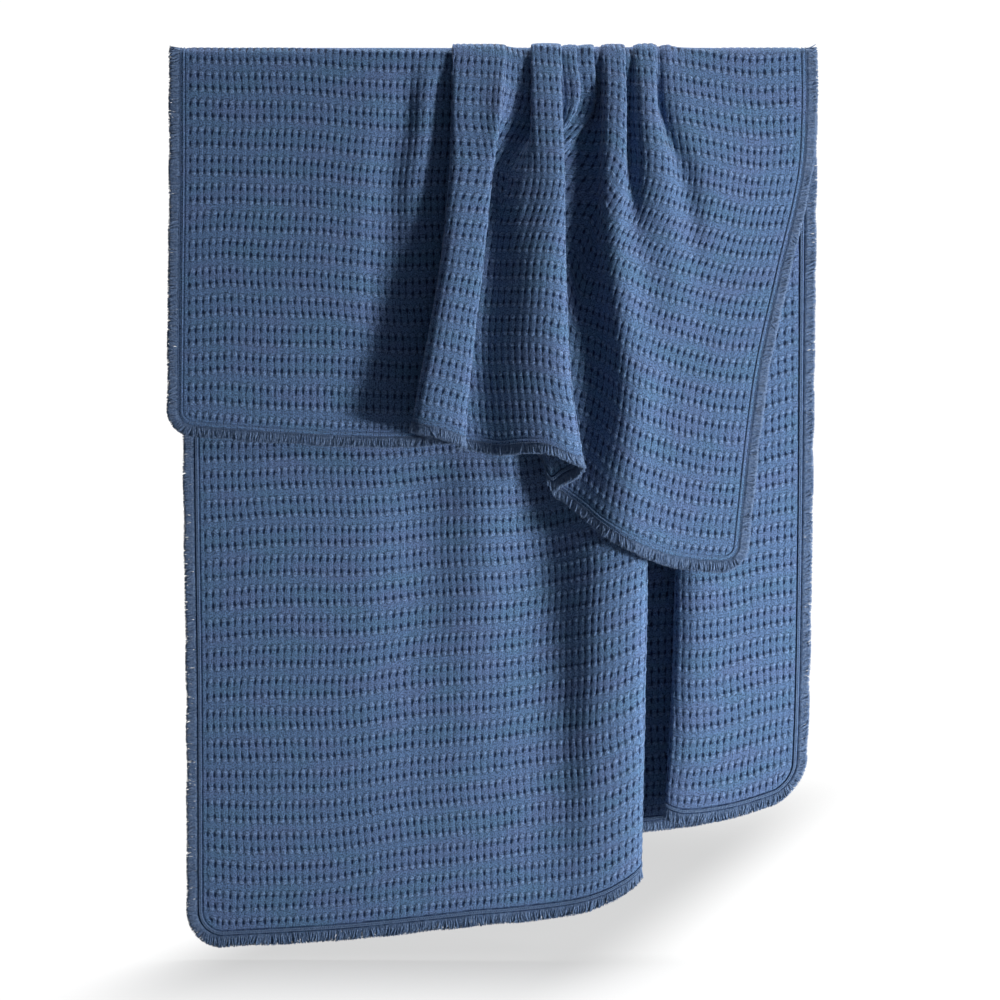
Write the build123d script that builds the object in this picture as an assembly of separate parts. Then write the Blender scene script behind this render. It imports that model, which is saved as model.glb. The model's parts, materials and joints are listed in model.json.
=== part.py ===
from build123d import *
import os
from math import cos, hypot, pi, sin

# A throw hung over a thin straight rail: a short flap in front (-Y), a long flap behind (+Y).
# X runs along the rail, Z is up and the origin lies on the rail's axis at the middle of the cloth.

# Driving dimensions, in millimetres
SHEET_WIDTH = 1300.0
HUNG_WIDTH = 858.0
THICKNESS = 3.0
RAIL_RADIUS = 10.0
FRINGE = 14.0
FRONT_CORNER = 34.0
BACK_CORNER = 50.0

# Coverstitch: distances from the cut edge, and how far the threads stand off the cloth
NEEDLE_OUTER = 15.6
NEEDLE_INNER = 20.0
NEEDLE_WIDTH = 1.2
LOOPER_EDGES = (14.6, 21.6)
SEAM_END = 22.6
THREAD_HEIGHT = 0.6
LOOPER_CLEAR_OF_RAIL = 16.0

# Faces across a flap: wide ones where the cloth hangs flat, narrow ones through the gathers
FLAT_FACE = 75.0
GATHER_FACE = 15.0
FRONT_GATHERS = (285, 1200)
BACK_GATHERS = (240, 1200)

# Levels between the hem and the rail at which the faces of a flap meet, below the rail's axis
FRONT_LEVELS = (430, 360, 290, 225, 160, 115, 70, LOOPER_CLEAR_OF_RAIL, 0)
BACK_LEVELS = (850, 735, 620, 470, 270, 70, LOOPER_CLEAR_OF_RAIL, 0)

# Drop from the rail's axis to the hem, at places across the flat sheet
FRONT_DROPS = (
    (0, 500), (150, 512), (300, 518), (370, 513), (395, 512), (420, 508), (440, 502), (466, 498),
    (490, 503), (517, 509), (538, 516), (568, 520), (604, 524), (633, 529), (657, 527), (680, 526),
    (700, 528), (716, 534), (733, 542), (749, 545), (769, 557), (789, 566), (813, 572), (850, 577),
    (890, 583), (960, 590), (1015, 597), (1052, 607), (1075, 618), (1100, 632), (1130, 648),
    (1161, 661), (1200, 674), (1240, 680), (1300, 681),
)
BACK_DROPS = (
    (0, 1183), (200, 1172), (345, 1157), (378, 1153), (430, 1149), (500, 1141), (540, 1133),
    (570, 1122), (592, 1110), (612, 1097), (630, 1084), (650, 1069), (700, 1050), (745, 1044),
    (765, 1042), (800, 1039), (870, 1034),
    (940, 1026), (985, 1018), (1005, 1013), (1050, 1008), (1088, 1006), (1102, 1011), (1130, 1018),
    (1200, 1008), (1300, 976),
)

# Cross-sections of a flap at distances below the rail's axis and, last, at the hem itself.
# Each point is (place across the flat sheet, x, y).
FRONT_SECTIONS = {
    70: (
        (0, -429, -12), (150, -279, -12), (270, -159, -12), (306, -125, -8.5), (341, -92, -16),
        (368, -66, -11), (400, -37, -12), (420, -21, -16), (444, -36, -20), (468, -55, -25.5),
        (490, -38, -30), (520, -8, -31), (545, 13, -33), (562, 17, -20.5), (590, 39, -15),
        (618, 64, -14), (636, 64, -19), (656, 50, -26), (672, 60, -32), (700, 85, -33),
        (712, 88, -25), (730, 90, -20.5), (755, 107, -26), (768, 108, -18), (800, 112, -9),
        (870, 122, -7), (944, 138, -7), (966, 145, -21), (985, 159, -30), (1000, 171, -28),
        (1012, 171, -15.5), (1026, 179, -11.5), (1042, 188, -24.5), (1064, 208, -30),
        (1078, 215, -19.5), (1087, 219, -15.5), (1102, 231, -23), (1130, 257, -24), (1200, 327, -17),
        (1300, 427, -13),
    ),
    160: (
        (0, -429, -12), (150, -279, -12), (262, -168, -12.5), (294, -138, -8.5), (332, -103, -16.5),
        (364, -73, -12), (400, -39, -12), (419, -27, -16.5), (442, -45, -20.5), (460, -58, -28.5),
        (479, -44, -36), (508, -16, -35.5), (521, -12, -30), (540, -25, -28), (558, -35, -26),
        (582, -15, -22), (612, 12, -24), (641, 36, -34.5), (673, 64, -46), (700, 88, -48),
        (713, 91, -40), (745, 67, -32), (795, 25, -22), (836, -7, -10.5), (880, 31, -4.5),
        (925, 75, -4), (950, 108, -4.5), (964, 130, -6.5), (974, 141, -20), (984, 147.5, -31),
        (1001, 164, -34), (1014, 173, -26), (1026, 179, -17.5), (1038, 188, -22), (1050, 196, -31),
        (1069, 213, -37), (1092, 234, -32), (1111, 248, -22.5), (1131, 265, -28), (1158, 290, -29.5),
        (1200, 329, -25), (1300, 424, -17),
    ),
    290: (
        (0, -430, -13), (150, -281, -14), (250, -182, -14.5), (290, -143, -10.5), (330, -105, -13.5),
        (375, -62, -12.5), (402, -36, -13.5), (419, -28, -19.5), (444, -49, -25), (468, -71, -36),
        (484, -62.5, -48), (512, -36, -49), (536, -17, -44.5), (549, -19, -38.5), (565, -32, -36.5),
        (580, -42, -33), (604, -23, -28), (630, 2, -30.5), (655, 24, -43.5), (682, 49, -57),
        (707, 73, -62.5), (722, 88, -59.5), (734, 92.5, -50), (760, 71, -42), (800, 35, -32),
        (836, 3, -21.5), (860, -15, -13), (890, 8, -7), (950, 65, -5.5), (1000, 112, -6),
        (1018, 129, -9), (1030, 140, -22), (1040, 146.5, -36), (1060, 164, -46.5), (1088, 190, -38.5),
        (1110, 210.5, -35.5), (1136, 236, -36.5), (1168, 266, -31.5), (1220, 315, -29),
        (1300, 389, -27),
    ),
    430: (
        (0, -431, -14.5), (150, -281, -15), (300, -132, -14), (350, -83, -13.5), (385, -52, -15),
        (404, -44, -21.5), (432, -65, -31.5), (458, -88, -39.5), (471, -96, -49), (489, -83.5, -60),
        (520, -53, -60), (546, -32, -54), (562, -41, -46), (577, -53, -41), (600, -35, -36),
        (626, -10, -39.5), (652, 14, -52), (684, 44, -66), (714, 72, -73.5), (737, 94, -71.5),
        (748, 99.5, -61.5), (780, 76, -43), (808, 52, -33), (850, 14, -21), (881, -9, -12.5),
        (905, 7, -8), (945, 38, -7.5), (1010, 92, -8), (1040, 121, -10.5), (1064, 144, -20.5),
        (1080, 156.5, -33.5), (1106, 179, -46), (1140, 210.5, -42), (1180, 247, -37),
        (1240, 302, -36), (1300, 359, -35),
    ),
    "hem": (
        (0, -431, -15), (150, -281, -16), (300, -131, -16), (360, -75, -16.5), (390, -58, -21),
        (420, -77, -33.5), (448, -99, -44), (466, -108, -55), (485, -95, -65), (520, -62, -68.5),
        (546, -40, -62.5), (557, -42, -54), (574, -45, -47.5), (600, -22, -46), (630, 6, -56.5),
        (666, 38.5, -72), (700, 71, -82.5), (728, 99, -83), (745, 113, -71.5), (756, 113, -58.5),
        (782, 100, -38.5), (816, 73, -24), (855, 37, -19.5), (875, 19, -17.5), (890, 7, -14),
        (904, 8, -7.5), (920, 20, -5), (985, 57, -5.5), (1035, 84, -10), (1070, 112, -22.5),
        (1110, 146.5, -41.5), (1146, 179.5, -50.5), (1200, 231, -46.5), (1300, 330, -43),
    ),
}
BACK_SECTIONS = {
    70: (
        (0, -425, 12), (200, -226, 12), (345, -85, 12), (378, -56, 13), (430, -20, 13), (500, 24, 16),
        (570, 72, 15), (610, 98, 15), (630, 110, 17), (650, 118, 22), (700, 119, 28), (745, 116, 31),
        (765, 118, 36), (800, 131, 40), (870, 158, 41), (940, 186, 40), (985, 205, 35), (1005, 207, 29),
        (1050, 203, 24), (1088, 205, 20), (1102, 215, 16), (1130, 249, 12), (1200, 322, 12),
        (1300, 427, 12),
    ),
    470: (
        (0, -415, 13), (200, -214, 13), (300, -114, 15), (345, -70, 16), (391, -26, 12), (447, 26, 14),
        (483, 57, 12), (516, 84, 7), (550, 112, 1), (584, 143, -4), (612, 166, -4), (628, 176, 3),
        (645, 173, 13), (670, 160, 22), (700, 143, 31), (745, 113, 38), (765, 109, 46), (800, 130, 52),
        (870, 188, 55), (940, 245, 54), (985, 278, 48), (1005, 275, 39), (1050, 250, 33),
        (1086, 237, 29), (1104, 237, 23), (1120, 250, 15), (1146, 278, 9), (1200, 328, 11),
        (1300, 422, 13),
    ),
    620: (
        (0, -413, 13), (200, -212, 13), (262, -149, 14.5), (316, -93, 20.5), (354, -56, 16),
        (391, -19, 9.5), (447, 37, 15.5), (483, 72, 11), (516, 101, -6), (550, 132, -21.5),
        (584, 165.5, -25), (612, 192, -18), (628, 198, -4), (645, 192, 9), (670, 174, 21),
        (700, 150, 31), (745, 112, 38), (765, 106, 48), (800, 130, 55), (870, 200, 57), (940, 268, 56),
        (985, 306, 50), (1005, 301, 41), (1050, 267, 34), (1086, 249, 30), (1104, 243, 23),
        (1120, 254.5, 14), (1146, 279, 8), (1200, 330, 11), (1300, 420, 14),
    ),
    850: (
        (0, -410, 14), (200, -210, 13), (280, -130, 15.5), (316, -93, 17), (373, -37, 13), (410, 0, 13),
        (466, 56, 16.5), (505, 93, 9), (544, 127.5, -8.5), (582, 163.5, -14.5), (612, 192, -10),
        (628, 199, 4), (645, 191, 18), (700, 150, 34), (745, 112, 40), (765, 106, 49), (800, 130, 55),
        (870, 200, 57), (940, 267, 56), (985, 304, 50), (1005, 299, 41), (1050, 260, 33),
        (1086, 240, 28), (1104, 240, 21), (1130, 261, 12), (1200, 328, 13), (1300, 417, 15),
    ),
    "hem": (
        (0, -409, 14), (200, -208, 15), (345, -62, 14), (430, 20, 14), (500, 86, 12.5), (540, 123, 10),
        (575, 156, 8.5), (600, 180, 9.5), (616, 192, 14), (632, 194, 22), (650, 188, 28),
        (700, 150, 36), (745, 112, 41), (765, 107, 48), (800, 131, 54), (870, 199, 56), (940, 266, 55),
        (985, 304, 49), (1005, 299, 40), (1050, 256, 33), (1086, 232, 27), (1104, 230, 20),
        (1130, 253, 15), (1200, 322, 15), (1300, 415, 15),
    ),
}

# Fold lines of the front flap run slightly askew through the cloth. Each row gives the place
# across the flat sheet of one fold line at the rail, at the four levels and at the hem.
FRONT_FOLD_LINES = (
    (0, 0, 0, 0, 0, 0),
    (300, 300, 300, 300, 300, 300),
    (421, 421, 420, 419, 404, 395),
    (468, 468, 460, 470, 471, 466),
    (547, 547, 520, 543, 547, 551),
    (562, 562, 558, 580, 577, 568),
    (656, 656, 655, 672, 676, 674),
    (711, 711, 713, 729, 746, 749),
    (762, 762, 764, 780, 800, 805),
    (829, 829, 836, 860, 881, 893),
    (915, 915, 924, 950, 966, 975),
    (961, 961, 974, 1031, 1071, 1080),
    (1006, 1006, 1014, 1062, 1096, 1108),
    (1022, 1022, 1028, 1082, 1110, 1126),
    (1042, 1042, 1048, 1102, 1128, 1142),
    (1072, 1072, 1088, 1136, 1158, 1166),
    (1086, 1086, 1112, 1168, 1186, 1192),
    (1230, 1230, 1230, 1236, 1240, 1242),
    (1300, 1300, 1300, 1300, 1300, 1300),
)
BACK_FOLD_LINES = ((0,) * 6, (1300,) * 6)

MID_RADIUS = RAIL_RADIUS + THICKNESS / 2
OUTER_RADIUS = RAIL_RADIUS + THICKNESS

# Places along a column are measured in millimetres up from the hem. Above the corner rows they
# count level by level instead, in steps of LEVEL_STEP.
LEVEL_STEP = 1000


def spline(table, at, k=1):
    """Smooth curve through one value of each row of a table, read at one place."""
    last = len(table) - 2
    i = max(n for n in range(last + 1) if n == 0 or table[n][0] <= at)
    start, end = table[i][0], table[i + 1][0]
    span = end - start
    t = (at - start) / span

    def slope(n):
        low, high = table[max(n - 1, 0)], table[min(n + 1, last + 1)]
        return (high[k] - low[k]) / (high[0] - low[0])

    return (
        table[i][k] * (1 + 2 * t) * (1 - t) ** 2
        + slope(i) * span * t * (1 - t) ** 2
        + table[i + 1][k] * t * t * (3 - 2 * t)
        + slope(i + 1) * span * t * t * (t - 1)
    )


def blend(first, second, share):
    return first + (second - first) * share


def rounded(u, v, corner):
    """Move a point of the flat sheet so that its square hem corners become round."""
    mirrored = u > SHEET_WIDTH / 2
    along = corner - (SHEET_WIDTH - u if mirrored else u)
    up = corner - v
    reach = max(along, up)
    if min(along, up) <= 0:
        return u, v
    turn = pi / 4 * (up / along if along >= up else 2 - along / up)
    u = corner - reach * cos(turn)
    return (SHEET_WIDTH - u if mirrored else u), corner - reach * sin(turn)


def even(start, end, step):
    """Places from start to end, end left out, at equal steps no longer than the one wanted."""
    count = max(1, round((end - start) / step))
    return [blend(start, end, k / count) for k in range(count)]


def columns(gathers, corner):
    """Places across the sheet where the faces of a flap meet."""
    first, last = gathers
    ends = [0, FRINGE, SEAM_END]
    inner = even(corner, first, FLAT_FACE) + even(first, last, GATHER_FACE)
    inner += even(last, SHEET_WIDTH - corner, FLAT_FACE) + [SHEET_WIDTH - corner]
    return ends + inner + [SHEET_WIDTH - end for end in reversed(ends)]


class Flap:
    """One hanging side of the throw. Rows run up from the hem to the rail's axis level."""

    def __init__(self, side, corner, drops, sections, fold_lines, gathers, levels):
        self.side = side
        self.corner = corner
        self.drops = drops
        self.sections = sections
        self.fold_lines = fold_lines
        self.us = columns(gathers, corner)
        self.hem_rows = [0, FRINGE, SEAM_END, corner]
        self.levels = levels
        self.grids = {}

    def middle_line(self, u, drop, bottom):
        """Point of the cloth's middle surface at a distance below the rail's axis."""
        marks = [0] + [bottom if level == "hem" else level for level in self.sections]
        k = max(n for n in range(len(marks) - 1) if marks[n] <= drop)
        share = (drop - marks[k]) / (marks[k + 1] - marks[k])
        upper, lower = self.along_folds(u, k, share)
        x0, y0 = self.section(k, upper)
        x1, y1 = self.section(k + 1, lower)
        return blend(x0, x1, share), blend(y0, y1, share), -drop

    def along_folds(self, u, k, share):
        """Where to read the sections above and below a point, the same share between fold lines."""
        if len(self.fold_lines) == 2:
            return u, u
        for left, right in zip(self.fold_lines, self.fold_lines[1:]):
            start, end = blend(left[k], left[k + 1], share), blend(right[k], right[k + 1], share)
            if u <= end:
                t = (u - start) / (end - start)
                return blend(left[k], right[k], t), blend(left[k + 1], right[k + 1], t)
        return u, u

    def section(self, k, u):
        """Point (x, y) of the rail line, or of the k-th section below it."""
        if k == 0:
            return HUNG_WIDTH * (u / SHEET_WIDTH - 0.5), self.side * MID_RADIUS
        table = list(self.sections.values())[k - 1]
        return spline(table, u, 1), spline(table, u, 2)

    def place(self, i, j):
        """Point of the middle surface at column i and row j."""
        u = self.us[i]
        if j >= len(self.hem_rows):
            drop = self.levels[j - len(self.hem_rows)]
            return self.middle_line(u, drop, spline(self.drops, u))
        u, v = rounded(u, self.hem_rows[j], self.corner)
        bottom = spline(self.drops, u)
        return self.middle_line(u, bottom - v, bottom)

    def skin(self, i, j, offset):
        """Point at an offset from the middle surface, positive on the sheet's outer face."""
        x, y, z = self.place(i, j)
        if j == self.row_count() - 1:
            return x, y + self.side * offset, z
        ax, ay, _ = self.place(max(i - 1, 0), j)
        bx, by, _ = self.place(min(i + 1, len(self.us) - 1), j)
        length = hypot(bx - ax, by - ay)
        return x - self.side * offset * (by - ay) / length, y + self.side * offset * (bx - ax) / length, z

    def row_count(self):
        return len(self.hem_rows) + len(self.levels)

    def grid(self, offset):
        """All points of one skin, column by column."""
        if offset not in self.grids:
            rows = range(self.row_count())
            self.grids[offset] = [[self.skin(i, j, offset) for j in rows] for i in range(len(self.us))]
        return self.grids[offset]

    def read(self, i, t, j, s, offset):
        """Point of the faceted skin, a share t past column i and s past row j."""
        g = self.grid(offset)
        corners = ((g[i][j], (1 - t) * (1 - s)), (g[i + 1][j], t * (1 - s)))
        corners += ((g[i][j + 1], (1 - t) * s), (g[i + 1][j + 1], t * s))
        return Vector(*[sum(point[k] * weight for point, weight in corners) for k in range(3)])

    def row_scale(self):
        return self.hem_rows + [LEVEL_STEP * (k + 1) for k in range(len(self.levels))]

    def level_mark(self, level):
        return LEVEL_STEP * (self.levels.index(level) + 1)

    def slab(self, u_range, v_start, v_end, offsets):
        """Closed solid between two offsets, over part of the flap."""
        across = stops(self.us, u_range)
        along = stops(self.row_scale(), (v_start, v_end))
        low, high = [
            [[self.read(*a, *b, offset) for b in along] for a in across] for offset in offsets
        ]
        faces = []
        for grid in (low, high):
            for left, right in zip(grid, grid[1:]):
                faces += patches(left, right)
        faces += patches(low[0], high[0]) + patches(low[-1], high[-1])
        for end in (0, -1):
            faces += patches([line[end] for line in low], [line[end] for line in high])
        solid = Solid(Shell(faces))
        return solid if solid.volume > 0 else solid.reversed()

    def to_rail(self, u_range, v_start, offsets):
        return self.slab(u_range, v_start, self.level_mark(0), offsets)


def stops(scale, wanted):
    """Cell number and share of the cell for the ends of a range and each grid line inside it."""
    low, high = wanted
    marks = [low] + [mark for mark in scale if low < mark < high] + [high]
    found = []
    for mark in marks:
        cell = max(k for k in range(len(scale) - 1) if scale[k] <= mark)
        found.append((cell, (mark - scale[cell]) / (scale[cell + 1] - scale[cell])))
    return found


def patches(first, second):
    """Four-cornered faces between two lines of points."""
    faces = []
    for a, b, c, d in zip(first, first[1:], second, second[1:]):
        faces.append(Face.make_surface_from_curves(Edge.make_line(a, b), Edge.make_line(c, d)))
    return faces


def over_rail(u_range, radii):
    """Half ring of cloth or thread where the sheet passes over the rail."""
    inner, outer = radii
    start, end = [HUNG_WIDTH * (u / SHEET_WIDTH - 0.5) for u in u_range]
    ring = Circle(outer) - Circle(inner)
    top = ring & Pos(0, outer) * Rectangle(4 * outer, 2 * outer)
    return extrude(Plane.YZ.offset(start) * top, amount=end - start)


def whole(*pieces):
    """Pieces that meet face to face, as one solid."""
    first, *others = pieces
    return first.fuse(*others)


def strip(front, back, u_range):
    """Full thickness of cloth from the front fringe over the rail to the back fringe."""
    faces = (-THICKNESS / 2, THICKNESS / 2)
    return whole(
        over_rail(u_range, (RAIL_RADIUS, OUTER_RADIUS)),
        front.to_rail(u_range, FRINGE, faces),
        back.to_rail(u_range, FRINGE, faces),
    )


def hem_fringe(flap):
    return flap.slab((0, SHEET_WIDTH), 0, FRINGE, (-THICKNESS / 2, THICKNESS / 2))


def needle_thread(front, back, middle):
    """Row of needle thread round the outer face, a set distance in from the cut edge."""
    near, far = middle - NEEDLE_WIDTH / 2, middle + NEEDLE_WIDTH / 2
    faces = (THICKNESS / 2, THICKNESS / 2 + THREAD_HEIGHT)
    rows = [flap.slab((near, SHEET_WIDTH - near), near, far, faces) for flap in (front, back)]
    for u_range in ((near, far), (SHEET_WIDTH - far, SHEET_WIDTH - near)):
        rows.append(over_rail(u_range, (OUTER_RADIUS, OUTER_RADIUS + THREAD_HEIGHT)))
        rows += [flap.to_rail(u_range, far, faces) for flap in (front, back)]
    return whole(*rows)


def looper_thread(front, back):
    """Band of looper thread round the inner face. It stops short of the rail, where it is pressed flat."""
    near, far = LOOPER_EDGES
    faces = (-THICKNESS / 2 - THREAD_HEIGHT, -THICKNESS / 2)
    bands = []
    for flap in (front, back):
        pieces = [flap.slab((near, SHEET_WIDTH - near), near, far, faces)]
        for u_range in ((near, far), (SHEET_WIDTH - far, SHEET_WIDTH - near)):
            pieces.append(flap.slab(u_range, far, flap.level_mark(LOOPER_CLEAR_OF_RAIL), faces))
        bands.append(whole(*pieces))
    return Compound(bands)


def main():
    front = Flap(
        -1, FRONT_CORNER, FRONT_DROPS, FRONT_SECTIONS, FRONT_FOLD_LINES, FRONT_GATHERS, FRONT_LEVELS
    )
    back = Flap(1, BACK_CORNER, BACK_DROPS, BACK_SECTIONS, BACK_FOLD_LINES, BACK_GATHERS, BACK_LEVELS)
    inner_edge = SHEET_WIDTH - FRINGE
    nodes = {
        "cloth_panel": strip(front, back, (FRINGE, inner_edge)),
        "fringe_front_hem": hem_fringe(front),
        "fringe_back_hem": hem_fringe(back),
        "fringe_left_side": strip(front, back, (0, FRINGE)),
        "fringe_right_side": strip(front, back, (inner_edge, SHEET_WIDTH)),
        "needle_thread_outer": needle_thread(front, back, NEEDLE_OUTER),
        "needle_thread_inner": needle_thread(front, back, NEEDLE_INNER),
        "looper_thread": looper_thread(front, back),
    }
    os.makedirs("parts", exist_ok=True)
    for name, shape in nodes.items():
        export_step(shape, f"parts/{name}.step")


main()
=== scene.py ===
import json
import math

import bpy
import numpy as np
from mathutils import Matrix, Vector


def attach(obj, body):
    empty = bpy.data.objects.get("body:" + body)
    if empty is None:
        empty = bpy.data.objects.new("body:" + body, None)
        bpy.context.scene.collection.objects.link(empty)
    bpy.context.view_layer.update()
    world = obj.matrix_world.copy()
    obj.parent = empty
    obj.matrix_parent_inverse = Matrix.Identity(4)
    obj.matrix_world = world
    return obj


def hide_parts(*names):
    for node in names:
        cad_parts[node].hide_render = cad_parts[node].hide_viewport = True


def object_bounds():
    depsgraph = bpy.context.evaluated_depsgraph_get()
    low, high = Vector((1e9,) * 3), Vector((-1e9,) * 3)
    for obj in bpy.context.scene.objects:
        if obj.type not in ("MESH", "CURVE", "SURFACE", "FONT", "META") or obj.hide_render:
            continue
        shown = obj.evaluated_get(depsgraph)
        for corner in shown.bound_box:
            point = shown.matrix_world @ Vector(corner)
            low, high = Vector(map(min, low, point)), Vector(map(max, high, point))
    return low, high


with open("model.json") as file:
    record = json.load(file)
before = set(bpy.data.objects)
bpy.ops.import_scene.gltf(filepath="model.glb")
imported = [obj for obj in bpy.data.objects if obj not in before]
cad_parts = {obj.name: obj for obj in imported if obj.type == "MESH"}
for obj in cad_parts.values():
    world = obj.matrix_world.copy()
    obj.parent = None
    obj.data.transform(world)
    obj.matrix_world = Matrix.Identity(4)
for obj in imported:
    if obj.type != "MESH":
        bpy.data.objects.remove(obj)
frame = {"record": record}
CAD_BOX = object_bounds()

# The throw hangs over a rail on the row's X axis: short flap in front (-Y), long flap behind (+Y).
# Places on the flat sheet are (u, v) in millimetres: u across from the left side, v along from the
# front hem, over the rail, to the back hem. Positions in space are millimetres too until a mesh is made.
MM = 0.001
SHEET_WIDTH, SHEET_LENGTH = 1300.0, 1700.0
RAIL_RADIUS = frame["record"]["mounts"][0]["dims"]["r_mm"]
THICKNESS = 3.0
MID_RADIUS = RAIL_RADIUS + THICKNESS / 2
WRAP = math.pi * MID_RADIUS
FRINGE = 14.0
FRONT_CORNER, BACK_CORNER = 34.0, 50.0

# Over the rail the gathers lie flat as knife pleats: (u, x, height above the layer on the rail).
RAIL_PLEATS = (
    (0, -429, 0), (150, -279, 0), (300, -129, 0), (370, -60, 0), (398, -33, 0.3), (413, -20, 0.8),
    (421, -18, 1.6), (432, -25, 2.3), (448, -40, 2.8), (461, -52, 3.6), (468, -54, 4.8), (484, -42, 5.4),
    (505, -22, 5.4), (530, 2, 5.2), (545, 14, 4.4), (554, 16, 2.4), (570, 28, 0.6), (598, 50, 0.4),
    (616, 65, 1.0), (624, 68, 1.9), (634, 65, 2.8), (648, 54, 3.6), (657, 50, 4.8), (668, 56, 5.8),
    (686, 72, 6.4), (700, 84, 5.8), (709, 88, 4.4), (718, 86, 2.8), (728, 89, 2.4), (738, 95, 3.6),
    (748, 102, 4.2), (756, 108, 3.4), (764, 109, 2.0), (785, 91, 1.2), (815, 62, 0.8), (829, 54, 0.6),
    (843, 63, 0.6), (870, 91, 1.2), (886, 107, 2.4), (898, 119, 4.4), (909, 129, 4.6), (915, 131, 3.0),
    (924, 124, 1.2), (931, 123, 0.8), (944, 135, 1.0), (954, 141, 1.4), (961, 142, 3.0), (970, 147, 5.0),
    (984, 158, 5.4), (996, 168, 5.2), (1004, 172, 3.4), (1010, 171, 1.4), (1020, 177, 1.0),
    (1030, 184, 1.6), (1036, 185, 3.4), (1044, 190, 5.4), (1058, 202, 5.8), (1068, 211, 5.2),
    (1075, 214, 3.0), (1082, 216, 1.2), (1090, 221, 2.6), (1099, 229, 4.0), (1110, 238, 1.8),
    (1130, 257, 0.3), (1200, 327, 0), (1300, 427, 0),
)

# Where the fold lines of the front flap run in the cloth: the u of each line at the rail, in the
# sections below it and at the hem.
FRONT_FOLD_LINES = (
    (0, 0, 0, 0, 0, 0),
    (300, 300, 300, 300, 300, 300),
    (421, 421, 420, 419, 404, 395),
    (468, 468, 460, 470, 471, 466),
    (547, 547, 520, 543, 547, 551),
    (562, 562, 558, 580, 577, 568),
    (628, 628, 626, 645, 646, 640),
    (656, 656, 655, 672, 676, 674),
    (711, 711, 713, 729, 746, 749),
    (762, 762, 764, 780, 800, 805),
    (829, 829, 836, 860, 881, 893),
    (915, 915, 924, 950, 966, 975),
    (961, 961, 974, 1031, 1071, 1080),
    (1006, 1006, 1014, 1062, 1096, 1108),
    (1022, 1022, 1028, 1082, 1110, 1126),
    (1042, 1042, 1048, 1102, 1128, 1142),
    (1072, 1072, 1088, 1136, 1158, 1166),
    (1086, 1086, 1112, 1168, 1186, 1192),
    (1230, 1230, 1230, 1236, 1240, 1242),
    (1300, 1300, 1300, 1300, 1300, 1300),
)

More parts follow.
